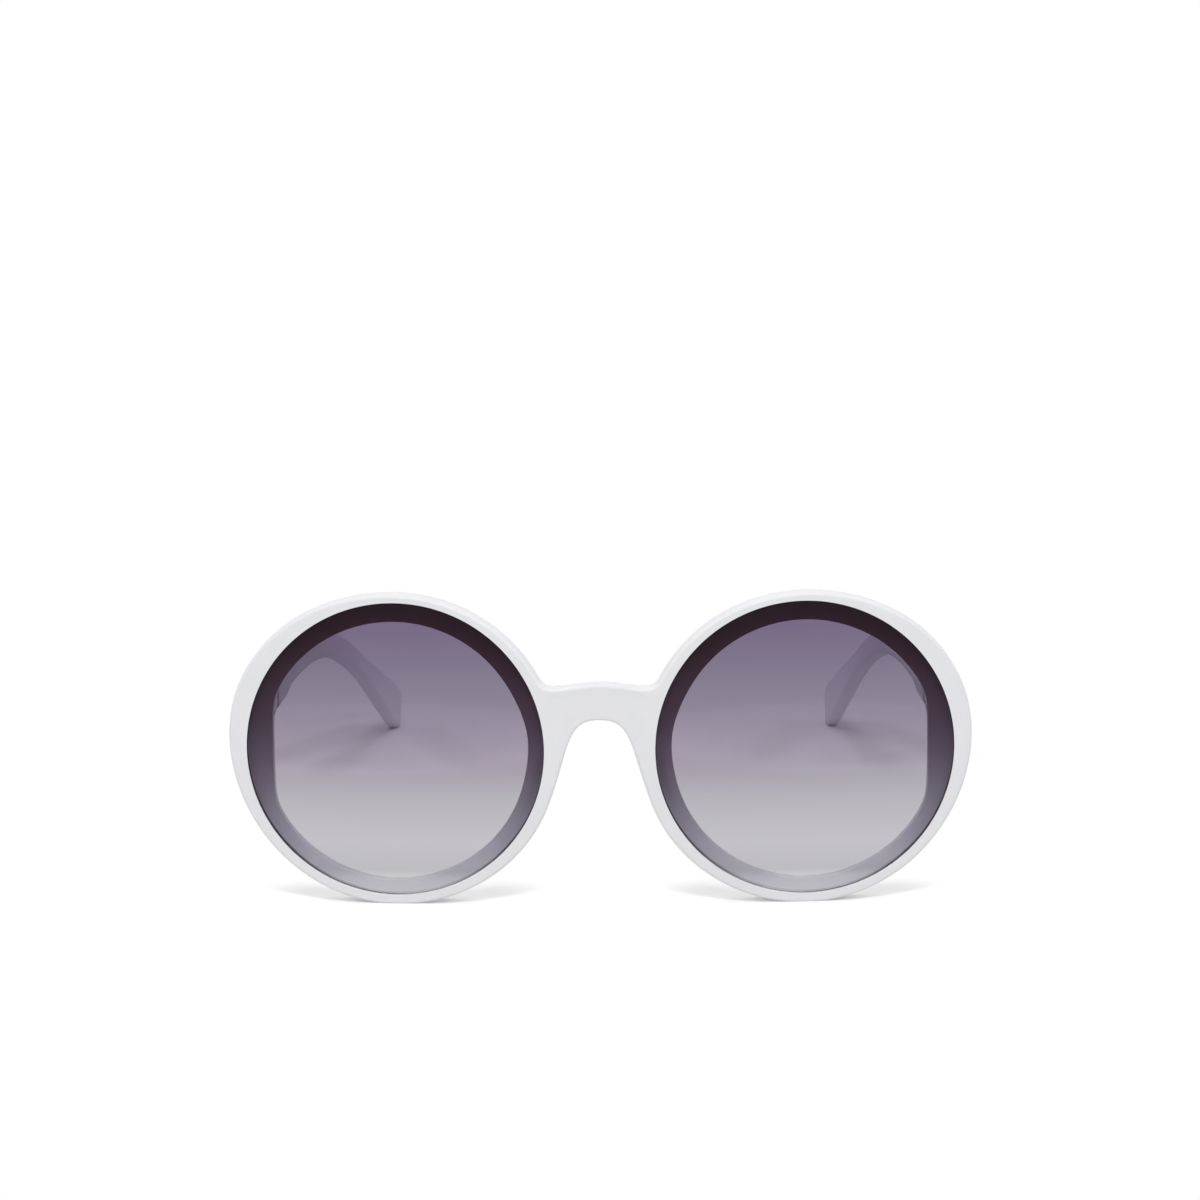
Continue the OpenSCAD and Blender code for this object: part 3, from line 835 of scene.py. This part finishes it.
ARM_STEPS, TIP_STEPS = 90, 8
CORNER_SHARE = TIP_CORNER_R / TIP_RUN
arm_shares = [FIRST_SHARE + step / ARM_STEPS * (1 - CORNER_SHARE - FIRST_SHARE)
              for step in range(ARM_STEPS)]
arm_shares += [1 - CORNER_SHARE * (1 - math.sin(math.radians(90 * step / TIP_STEPS)))
               for step in range(TIP_STEPS + 1)]
arm_lines = [[to_joint(place) for place in arm_section(arm_shares[0])]]
arm_lines += [arm_section(share) for share in arm_shares]
temple = start_ring("moulded_temple_left", arm_lines[0])
bpy.ops.mesh.edge_face_add()
bpy.ops.mesh.select_mode(type="EDGE")
extrude_through(temple, arm_lines)
tidy(temple, ARM_MERGE)
for corner in temple.data.vertices:
    corner.co.z = max(corner.co.z, 0)
tell(temple)

# %% [markdown]
# ## The hollow at the joint
# The knuckles of the hinge turn in a round hollow in the end of the temple. A cylinder round the
# pin, a little wider than the corner it clears, is taken away by a boolean. The finished temple
# is then mirrored for the other side.

# %% Cut the hollow for the knuckles
HOLLOW_GAP, CUTTER_H, CUTTER_SIDES, ARM_SMOOTH_BELOW = 0.12, 20, 96, 35
pin = in_row(Vector((HINGE_X, PIN_Y, HINGE_Z)) * MM)
relief = math.hypot(HINGE_X - TEMPLE_IN_X, PIN_Y - JOINT_Y) + HOLLOW_GAP
bpy.ops.object.select_all(action="DESELECT")
bpy.ops.mesh.primitive_cylinder_add(vertices=CUTTER_SIDES, radius=relief * MM, depth=CUTTER_H * MM,
                                    location=pin, rotation=(-LEAN, 0, 0))
combine(temple, bpy.context.object, "DIFFERENCE")
other_temple = mirrored_copy(temple, "moulded_temple_right")
for piece, side_name in ((temple, "left"), (other_temple, "right")):
    smooth(piece, ARM_SMOOTH_BELOW)
    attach(piece, side_name + "_temple")
    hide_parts("temple_" + side_name)
    tell(piece)

# %% [markdown]
# ## Tools for finishes
# Every finish is a tree of nodes. One helper adds a node and sets its values, and one links
# nodes, so that each tree reads as a short list.

# %% Helpers for node trees
def add(tree, kind, settings=None, **values):
    """A new node with its settings and the values of its inputs."""
    node = tree.nodes.new("ShaderNode" + kind)
    for name, value in (settings or {}).items():
        setattr(node, name, value)
    for name, value in values.items():
        node.inputs[name.replace("_", " ")].default_value = value
    return node


def wire_up(tree, *wires):
    """Links, each given as a node, its output, the next node and the input there."""
    for giver, out, taker, into in wires:
        tree.links.new(giver.outputs[out], taker.inputs[into])


print("helpers: adding a node, and wiring nodes up")

# %% [markdown]
# ## Skins
# No finish here is one flat colour. Moulded plastic shows soft clouds where it flowed and froze,
# and a very fine grain from its mould. Rolled and drawn metal shows streaks along one way. The
# two effects serve several materials, so they are one kind of node group: it takes two colours
# and two roughnesses, and gives out a colour, a roughness and a height for a Bump node. All of it
# hangs on Object coordinates, so that it stays with its piece when a temple folds.

# %% Node groups for the skins
SKIN_SOCKETS = [("Light", "INPUT", "Color"), ("Dark", "INPUT", "Color"), ("Smoothest", "INPUT", "Float"),
                ("Roughest", "INPUT", "Float"), ("Colour", "OUTPUT", "Color"),
                ("Roughness", "OUTPUT", "Float"), ("Height", "OUTPUT", "Float")]


def skin_group(name, stretch, cloud, grain):
    """Clouds and grain of the given sizes in millimetres, drawn out along a stretch."""
    group = bpy.data.node_groups.new(name, "ShaderNodeTree")
    for label, way, kind in SKIN_SOCKETS:
        group.interface.new_socket(label, in_out=way, socket_type="NodeSocket" + kind)
    given, out = group.nodes.new("NodeGroupInput"), group.nodes.new("NodeGroupOutput")
    place = add(group, "TexCoord")
    drawn = add(group, "Mapping", Scale=stretch)
    clouds = add(group, "TexNoise", Scale=1 / (cloud * MM), Detail=2, Roughness=0.5)
    fine = add(group, "TexNoise", Scale=1 / (grain * MM), Detail=3, Roughness=0.6)
    tone = add(group, "MapRange", From_Min=0.35, From_Max=0.65)
    rough = add(group, "MapRange", From_Min=0.3, From_Max=0.7)
    colour = add(group, "Mix", {"data_type": "RGBA"})
    wire_up(group, (place, "Object", drawn, "Vector"), (drawn, 0, clouds, "Vector"),
            (drawn, 0, fine, "Vector"), (clouds, 0, tone, "Value"), (tone, 0, colour, 0),
            (given, "Light", colour, 6), (given, "Dark", colour, 7), (fine, 0, rough, "Value"),
            (given, "Smoothest", rough, "To Min"), (given, "Roughest", rough, "To Max"),
            (colour, 2, out, "Colour"), (rough, 0, out, "Roughness"), (fine, 0, out, "Height"))
    return group


moulded_skin = skin_group("moulded_skin", (1, 1, 1), 14, 0.5)
rolled_skin = skin_group("rolled_skin", (1, 0.08, 1), 0.8, 0.12)
drawn_skin = skin_group("drawn_skin", (1, 0.02, 1), 0.5, 0.08)
turned_skin = skin_group("turned_skin", (1, 1, 0.05), 0.4, 0.06)
print("node groups:", sorted(group.name for group in bpy.data.node_groups))

# %% [markdown]
# ## Plastic and metals
# The skins give each material its colour, roughness and bump. The front and the temples come
# from two mouldings of one white plastic; the temples' copy is a hair more lilac, which is painted
# light for the tinted light they get through the lenses. The leaves of the hinges are nickelled,
# the screws are turned steel and the core wires are drawn, so their streaks run different ways.

# %% Plastic and metals
MOULDED_ROUGHNESS, MOULDED_RELIEF, METAL_RELIEF, BUMP_STRENGTH = (0.50, 0.60), 0.004, 0.01, 0.3


def skinned(name, group, light, dark, roughness, relief, metallic=0.0):
    """A material whose colour, roughness and bump come from a skin group. Relief is in mm."""
    material = bpy.data.materials.new(name)
    material.use_nodes = True
    tree = material.node_tree
    shader = tree.nodes["Principled BSDF"]
    shader.inputs["Metallic"].default_value = metallic
    skin = add(tree, "Group", {"node_tree": group}, Light=(*light, 1), Dark=(*dark, 1),
               Smoothest=roughness[0], Roughest=roughness[1])
    bump = add(tree, "Bump", Strength=BUMP_STRENGTH, Distance=relief * MM)
    wire_up(tree, (skin, "Colour", shader, "Base Color"), (skin, "Roughness", shader, "Roughness"),
            (skin, "Height", bump, "Height"), (bump, 0, shader, "Normal"))
    return material


white = skinned("white_moulding", moulded_skin, (0.792, 0.795, 0.816), (0.772, 0.775, 0.801),
                MOULDED_ROUGHNESS, MOULDED_RELIEF)
# The temples' copy of the same white, a hair more lilac: painted light, standing in for the tinted light
# they get through the lenses
arm_white_painted_light = skinned("white_arm_with_painted_lens_light", moulded_skin, (0.792, 0.776, 0.814), (0.776, 0.761, 0.798),
                    MOULDED_ROUGHNESS, MOULDED_RELIEF)
nickel = skinned("rolled_nickel", rolled_skin, (0.66, 0.65, 0.62), (0.50, 0.49, 0.47),
                 (0.20, 0.38), METAL_RELIEF, 1.0)
steel = skinned("turned_steel", turned_skin, (0.62, 0.63, 0.65), (0.44, 0.45, 0.47),
                (0.18, 0.34), METAL_RELIEF, 1.0)
wire = skinned("drawn_wire", drawn_skin, (0.55, 0.55, 0.56), (0.40, 0.40, 0.42),
               (0.28, 0.45), METAL_RELIEF, 1.0)
print("plastic and metals:", [material.name for material in (white, arm_white_painted_light, nickel, steel, wire)])

# %% [markdown]
# ## The tint of the lenses
# The lens is dyed in a bath that it was lowered into and drawn out of slowly, so it is darkest at
# the top and nearly clear at the bottom. A ramp over the height draws that. The first ramp
# is what the eye sees through the lens; a darker band in it round 6.6 mm up is painted shade,
# so that the lens just above the shelf's lower edge is as dark as the shaded shelf seen there.
# Glass stops the straight rays that carry light to what lies behind it, so for those rays the lens
# is a plain filter with a ramp of its own, which is a little redder: the shelf behind the lens takes
# its plum tone from that light. Light crosses two faces of the pane, so each face filters by the
# root of the tint, which is what gamma 0.5 does. A thin dark ring near its edge is painted shade
# of the gap round the lens, weaker at the very bottom, where light falls on the edge.

# %% Tint of the lenses
LOW_Z, HIGH_Z = 1.6, 61.6
# Painted shade: a thin dark ring near the lens's edge stands for the shade of the gap round it, and is
# weaker at the very bottom, where light falls on the edge
GAP_SHADE_FROM, GAP_SHADE_W, GAP_SHADE_MIDDLE_X = 29.62, 0.12, 40.896
GAP_SHADE_LIT_BOTTOM, GAP_LIT_BELOW_Z, GAP_SHADE_FULL, GAP_SHADE_FULL_FROM_Z = 0.7, 2, 0.1, 10
lens_middle = in_lens(0, 0, -LENS_INSET)
# What is seen through the lens: the dye, and a darker band round 6.6 mm up, which is painted shade
# matching the shaded shelf just below it
SEEN_DYE_AND_SHADE = [(2.5, (0.75, 0.74, 0.76)), (4.8, (0.655, 0.645, 0.670)), (6.6, (0.506, 0.498, 0.526)),
        (12.7, (0.545, 0.534, 0.574)), (20.9, (0.474, 0.463, 0.499)), (29.2, (0.361, 0.319, 0.392)),
        (37.4, (0.279, 0.246, 0.323)), (49.8, (0.209, 0.177, 0.254)), (56.0, (0.185, 0.141, 0.230))]
CAST = [(2.5, (1.0, 1.0, 1.0)), (8.5, (1.0, 0.98, 1.0)), (12.7, (0.70, 0.670, 0.76)),
        (20.9, (0.47, 0.43, 0.49)), (29.2, (0.35, 0.29, 0.35)), (37.4, (0.255, 0.18, 0.215)),
        (49.8, (0.18, 0.083, 0.10)), (56.0, (0.155, 0.062, 0.079))]

tint_group = bpy.data.node_groups.new("dip_dyed_tint_and_painted_shade", "ShaderNodeTree")
for label in ("Seen", "Cast"):
    tint_group.interface.new_socket(label, in_out="OUTPUT", socket_type="NodeSocketColor")
tint_out = tint_group.nodes.new("NodeGroupOutput")
place, split = add(tint_group, "TexCoord"), add(tint_group, "SeparateXYZ")
height = add(tint_group, "MapRange", From_Min=LOW_Z * MM, From_Max=HIGH_Z * MM)
mirrored_x = add(tint_group, "Math", {"operation": "ABSOLUTE"})
from_middle = add(tint_group, "CombineXYZ")
off = add(tint_group, "VectorMath", {"operation": "DISTANCE"})
off.inputs[1].default_value = (GAP_SHADE_MIDDLE_X * MM, 0, lens_middle.z)
# The painted shade of the gap: darkest near the edge, and weaker below 2 mm up
edge = add(tint_group, "MapRange", From_Min=GAP_SHADE_FROM * MM, From_Max=(GAP_SHADE_FROM + GAP_SHADE_W) * MM, To_Min=1)
depth = add(tint_group, "MapRange", From_Min=GAP_LIT_BELOW_Z * MM, From_Max=GAP_SHADE_FULL_FROM_Z * MM,
            To_Min=GAP_SHADE_LIT_BOTTOM, To_Max=GAP_SHADE_FULL)
wire_up(tint_group, (place, "Object", split, 0), (split, "Z", height, "Value"),
        (split, "X", mirrored_x, 0), (mirrored_x, 0, from_middle, "X"),
        (split, "Z", from_middle, "Z"), (split, "Z", depth, "Value"), (depth, 0, edge, "To Max"),
        (from_middle, 0, off, 0), (off, "Value", edge, "Value"))
for label, stops in (("Seen", SEEN_DYE_AND_SHADE), ("Cast", CAST)):
    ramp = add(tint_group, "ValToRGB")
    while len(ramp.color_ramp.elements) < len(stops):
        ramp.color_ramp.elements.new(0.5)
    for element, (z, colour) in zip(ramp.color_ramp.elements, stops):
        element.position, element.color = (z - LOW_Z) / (HIGH_Z - LOW_Z), (*colour, 1)
    gap_shaded = add(tint_group, "Mix", {"data_type": "RGBA", "blend_type": "MULTIPLY"})
    gap_shaded.inputs[0].default_value = 1
    wire_up(tint_group, (height, 0, ramp, 0), (ramp, 0, gap_shaded, 6), (edge, 0, gap_shaded, 7))
    tinted, result = (gap_shaded, 2) if label == "Seen" else (ramp, 0)
    wire_up(tint_group, (tinted, result, tint_out, label))
print("tint:", len(SEEN_DYE_AND_SHADE), "stops that are seen,", len(CAST), "that colour the light, bottom to top")

# %% [markdown]
# ## The pane
# The pane lets all light through, coloured by the tint. Its index is lower than a plastic's, so
# that it mirrors little of the white studio. For the straight rays it gives way to the filter.

# %% Material of the lenses
PANE_IOR = 1.2
dyed = bpy.data.materials.new("dyed_lens_with_painted_shade")
dyed.use_nodes = True
tree = dyed.node_tree
shader, surface = tree.nodes["Principled BSDF"], tree.nodes["Material Output"]
for socket, value in (("Transmission Weight", 1), ("Roughness", 0), ("IOR", PANE_IOR)):
    shader.inputs[socket].default_value = value
tint = add(tree, "Group", {"node_tree": tint_group})
root = add(tree, "Gamma", Gamma=0.5)
clear, rays, choice = add(tree, "BsdfTransparent"), add(tree, "LightPath"), add(tree, "MixShader")
straight = add(tree, "Math", {"operation": "MAXIMUM"})
wire_up(tree, (tint, "Seen", shader, "Base Color"), (tint, "Cast", root, "Color"),
        (root, 0, clear, "Color"), (rays, "Is Shadow Ray", straight, 0),
        (rays, "Is Diffuse Ray", straight, 1), (straight, 0, choice, 0), (shader, 0, choice, 1),
        (clear, 0, choice, 2), (choice, 0, surface, "Surface"))
print("lens material:", dyed.name, "with", len(tree.nodes), "nodes")

# %% [markdown]
# ## Every piece gets its material
# The pieces modelled here take theirs by name. The metal parts are still the solids from CAD, and
# they are found by what their names hold.

# %% Dress every piece
def dress(piece, material):
    piece.data.materials.clear()
    piece.data.materials.append(material)


dress(front, white)
for piece in (temple, other_temple):
    dress(piece, arm_white_painted_light)
for piece in (lens, other_lens):
    dress(piece, dyed)
for name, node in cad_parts.items():
    for part, material in (("leaf", nickel), ("screw", steel), ("wire", wire)):
        if part in name:
            dress(node, material)
            print(name, "gets", material.name)

# %% [markdown]
# ## Floor
# The pair stands on a large sheet. Some of its light is for the eye alone, so a helper tells the
# rays that show it from the rays that only carry light.

# %% Floor and the rays that show it
FLOOR_SIZE, FLOOR_MIDDLE = 6, (0, 1, 0)
bpy.ops.object.select_all(action="DESELECT")
bpy.ops.mesh.primitive_plane_add(size=FLOOR_SIZE, location=FLOOR_MIDDLE)
floor = bpy.context.object
floor.name = "floor"


def ray_that_shows(tree):
    """1 for rays from the eye, from a reflection and through a lens, and 0 for all others."""
    rays = add(tree, "LightPath")
    shows = rays.outputs["Is Camera Ray"]
    for other in ("Is Glossy Ray", "Is Transmission Ray"):
        either = add(tree, "Math", {"operation": "MAXIMUM"})
        tree.links.new(shows, either.inputs[0])
        tree.links.new(rays.outputs[other], either.inputs[1])
        shows = either.outputs[0]
    return shows


print("floor:", [round(side, 1) for side in floor.dimensions[:2]], "m")

# %% [markdown]
# ## The white sheet
# The sheet carries the pair on four feet: the two rims and the two tips. Near each foot
# the sheet is real paper that takes the light and shows the shadow, lifted a little so that
# bare paper comes out white, and less so at the tips, where two lamps of their own help. Further
# off it turns into plain white, as a backdrop that has its own lamps does, so that only the
# shadows at the feet remain. Only rays that show the sheet to the eye, straight, by a reflection
# or through a lens, see that white: it throws no light. The pools of paper are shorter in depth
# than they are wide.

# %% Material of the sheet
PAPER, LIFT, TIP_LIFT = 0.84, 0.225, 0.035
RIM_FOOT, RIM_NEAR, RIM_FAR = (0.041, -0.077), 0.027, 0.041
TIP_FOOT, TIP_NEAR, TIP_FAR = (0.058, 0.060), 0.032, 0.062
DEEPER = 1.6
paper = bpy.data.materials.new("white_sheet")
paper.use_nodes = True
tree = paper.node_tree
tree.nodes.remove(tree.nodes["Principled BSDF"])
shows = ray_that_shows(tree)
matt = add(tree, "BsdfDiffuse", Color=(PAPER, PAPER, PAPER, 1))
lift, lifted = add(tree, "Emission"), add(tree, "AddShader")
lift_seen = add(tree, "Math", {"operation": "MULTIPLY"})
lift_here = add(tree, "MapRange", To_Min=TIP_LIFT, To_Max=LIFT)
backdrop, whole = add(tree, "Emission", Strength=1), add(tree, "MixShader")
spot, split = add(tree, "NewGeometry"), add(tree, "SeparateXYZ")
either_side, folded = add(tree, "Math", {"operation": "ABSOLUTE"}), add(tree, "CombineXYZ")
plain = add(tree, "Math", {"operation": "MULTIPLY"})
plain_seen = add(tree, "Math", {"operation": "MULTIPLY"})
deeper = add(tree, "Math", {"operation": "MULTIPLY"})
deeper.inputs[1].default_value = DEEPER
wire_up(tree, (spot, "Position", split, 0), (split, "X", either_side, 0),
        (either_side, 0, folded, "X"), (split, "Y", deeper, 0), (deeper, 0, folded, "Y"))
feet = ((RIM_FOOT, RIM_NEAR, RIM_FAR), (TIP_FOOT, TIP_NEAR, TIP_FAR))
for socket, (foot_place, near, far) in enumerate(feet):
    away = add(tree, "VectorMath", {"operation": "DISTANCE"})
    away.inputs[1].default_value = (foot_place[0], DEEPER * foot_place[1], 0)
    fade = add(tree, "MapRange", {"interpolation_type": "SMOOTHSTEP"}, From_Min=near, From_Max=far)
    wire_up(tree, (folded, 0, away, 0), (away, "Value", fade, "Value"), (fade, 0, plain, socket))
tree.links.new(shows, lift_seen.inputs[0])
tree.links.new(shows, plain_seen.inputs[1])
wire_up(tree, (fade, 0, lift_here, "Value"), (lift_here, 0, lift_seen, 1),
        (lift_seen, 0, lift, "Strength"), (matt, 0, lifted, 0), (lift, 0, lifted, 1),
        (plain, 0, plain_seen, 0), (plain_seen, 0, whole, 0), (lifted, 0, whole, 1),
        (backdrop, 0, whole, 2), (whole, 0, tree.nodes["Material Output"], "Surface"))
floor.data.materials.append(paper)
print("white sheet: paper up to", RIM_NEAR, "m from the rims' feet, plain white from", RIM_FAR, "m")

# %% [markdown]
# ## The studio
# A bright, even studio lights the pair from all around. What the eye sees of it, straight, in a
# reflection or through a lens, is pure white.

# %% Light from all around
AROUND = 0.55
world = bpy.data.worlds.new("studio")
bpy.context.scene.world = world
world.use_nodes = True
tree = world.node_tree
around = tree.nodes["Background"]
around.inputs["Color"].default_value = (1, 1, 1, 1)
around.inputs["Strength"].default_value = AROUND
white_wall, choice = add(tree, "Background", Color=(1, 1, 1, 1), Strength=1), add(tree, "MixShader")
tree.links.new(ray_that_shows(tree), choice.inputs[0])
wire_up(tree, (around, 0, choice, 1), (white_wall, 0, choice, 2),
        (choice, 0, tree.nodes["World Output"], "Surface"))
print("studio:", AROUND, "of white all around")

# %% [markdown]
# ## Lamps
# Soft lamps give the pair its form. A wide one hangs overhead and lights what faces up. A small
# one stands in front, above the camera, and throws the shadows back. Two weak ones far out at
# the sides reach the inner flanks of the temples, which the others only graze. Two snooted ones
# shine in from far outside, each at the temple tip across from it, and throw the faint shadows
# that run outwards from the tips. Places and sizes are in metres.

# %% Lamps
SIDE_AT, SIDE_AIM, SIDE_SIZE, SIDE_POWER = (0.9, 0.35, 0.45), (0, 0, 0.03), (0.5, 0.5), 0.8
SNOOT_AT, SNOOT_AIM, SNOOT_POWER = (-0.35, 0.12, 0.33), (0.068, 0.062, 0), 3.6
SNOOT_ANGLE, SNOOT_BLEND, SNOOT_R = 17, 0.5, 0.085


def hang(lamp, place, aim):
    """Puts a lamp at a place and turns it to look at another."""
    holder = bpy.data.objects.new(lamp.name, lamp)
    bpy.context.scene.collection.objects.link(holder)
    holder.location = place
    holder.rotation_euler = (Vector(aim) - Vector(place)).to_track_quat("-Z", "Y").to_euler()
    print(lamp.name, "at", place, "with", round(lamp.energy, 2), "W")


def soft_lamp(name, place, aim, size, power):
    """A rectangular area lamp that looks at a place."""
    lamp = bpy.data.lights.new(name, "AREA")
    lamp.shape, lamp.size, lamp.size_y, lamp.energy = "RECTANGLE", *size, power
    hang(lamp, place, aim)


def snooted_lamp(name, place, aim):
    """A round lamp in a snoot, which lights only a pool round the place that it looks at."""
    lamp = bpy.data.lights.new(name, "SPOT")
    lamp.spot_size, lamp.spot_blend = math.radians(SNOOT_ANGLE), SNOOT_BLEND
    lamp.shadow_soft_size, lamp.energy = SNOOT_R, SNOOT_POWER
    hang(lamp, place, aim)


def on_side(place, turned):
    return (turned * place[0], place[1], place[2])


soft_lamp("overhead_softbox", (0, 0, 1.1), (0, 0, 0), (1.2, 1.2), 2.9)
soft_lamp("front_softbox", (0, -0.70, 0.89), (0, -0.02, 0), (0.24, 0.24), 4.2)
SIDES = (("left", 1), ("right", -1))
for side_name, turned in SIDES:
    soft_lamp(side_name + "_softbox", on_side(SIDE_AT, turned), SIDE_AIM, SIDE_SIZE, SIDE_POWER)
for side_name, turned in SIDES:
    snooted_lamp(side_name + "_tip_snoot", on_side(SNOOT_AT, turned), on_side(SNOOT_AIM, turned))

# %% [markdown]
# ## Camera
# The camera was found by fitting: with the sizes of the pair as they are, the rims, the bridge
# and the temple tips land on their places in the photograph when the eye stands 0.9 m off and
# looks down by 14.5 degrees, a hair from the right. The long focal length keeps the lines calm.

# %% Camera
ELEVATION, AZIMUTH, ROLL = math.radians(14.5), math.radians(1.2), math.radians(-0.62)
DISTANCE, SENSOR_W, FOCAL_SHARE = 0.9, 36, 3.7575
AIM, AIM_ROW, FRAME_ROWS = Vector((0.00035, -0.0722, 0.03173)), 147.8, 1200
tilt = ELEVATION - math.atan(AIM_ROW / FRAME_ROWS / FOCAL_SHARE)
photo_lens = bpy.data.cameras.new("photo_camera")
photo_lens.sensor_width = SENSOR_W
photo_lens.lens = SENSOR_W * FOCAL_SHARE
camera = bpy.data.objects.new("photo_camera", photo_lens)
bpy.context.scene.collection.objects.link(camera)
camera.location = AIM + DISTANCE * Vector((math.sin(AZIMUTH) * math.cos(ELEVATION),
                                           -math.cos(AZIMUTH) * math.cos(ELEVATION), math.sin(ELEVATION)))
upright_turn = Euler((math.pi / 2 - tilt, 0, AZIMUTH)).to_quaternion()
camera.rotation_euler = (upright_turn @ Quaternion((0, 0, 1), ROLL)).to_euler()
bpy.context.scene.camera = camera
bpy.context.scene.view_settings.view_transform = "Standard"
print("camera at", [round(x, 3) for x in camera.location])
